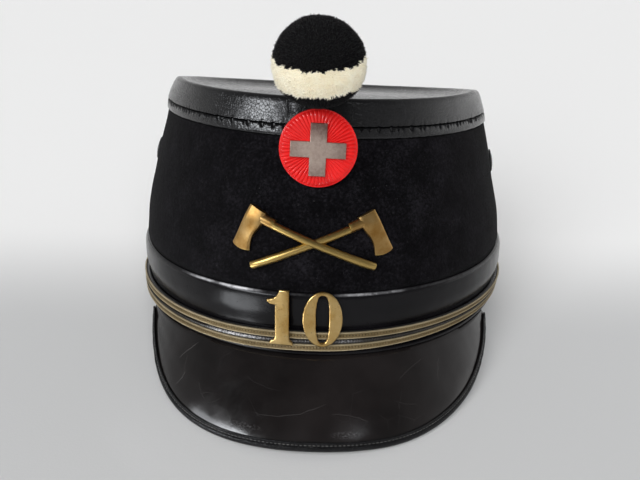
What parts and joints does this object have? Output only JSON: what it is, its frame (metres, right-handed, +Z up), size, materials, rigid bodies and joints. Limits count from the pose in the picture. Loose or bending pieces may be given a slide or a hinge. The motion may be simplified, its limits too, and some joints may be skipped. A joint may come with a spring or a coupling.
{
  "type": "shako hat",
  "caption": "Stiff black felt shako with leather crown, headband and peak, braided chin strap, brass badge and numerals, red cockade and wool pompom.",
  "frame": {"origin": "middle of the hat's footprint, on the surface that it rests on", "axes": "+Z up from the surface it rests on, -Y the front (peak, cockade and pompom), +X to the right of a viewer facing the front"},
  "size_m": [0.1836, 0.2472, 0.1606],
  "materials": {
    "felt": "dull black wool felt",
    "grained_leather": "grained, half gloss",
    "patent_leather": "smooth, high gloss",
    "strap_leather": "worn, half gloss",
    "gold_braid": "woven metallic thread",
    "brass": "polished",
    "red_lacquer": "glossy",
    "white_metal": "dull silver grey",
    "steel_wire": "plain",
    "wool": "short pile, black with a cream band",
    "vent_metal": "black japanned"
  },
  "bodies": {
    "root": {"felt_body": "felt", "crown_top": "grained_leather", "crown_flange": "grained_leather", "headband": "patent_leather", "strap": "strap_leather", "braid_upper": "gold_braid", "braid_lower": "gold_braid", "peak": "patent_leather", "peak_binding": "patent_leather", "pompom": "wool", "pompom_stem": "steel_wire", "pompom_socket": "grained_leather", "cockade_disc": "red_lacquer", "cockade_cross": "white_metal", "axes_badge": "brass", "numeral_one": "brass", "numeral_nought": "brass", "vent_left": "vent_metal", "vent_right": "vent_metal"}
  },
  "joints": []
}
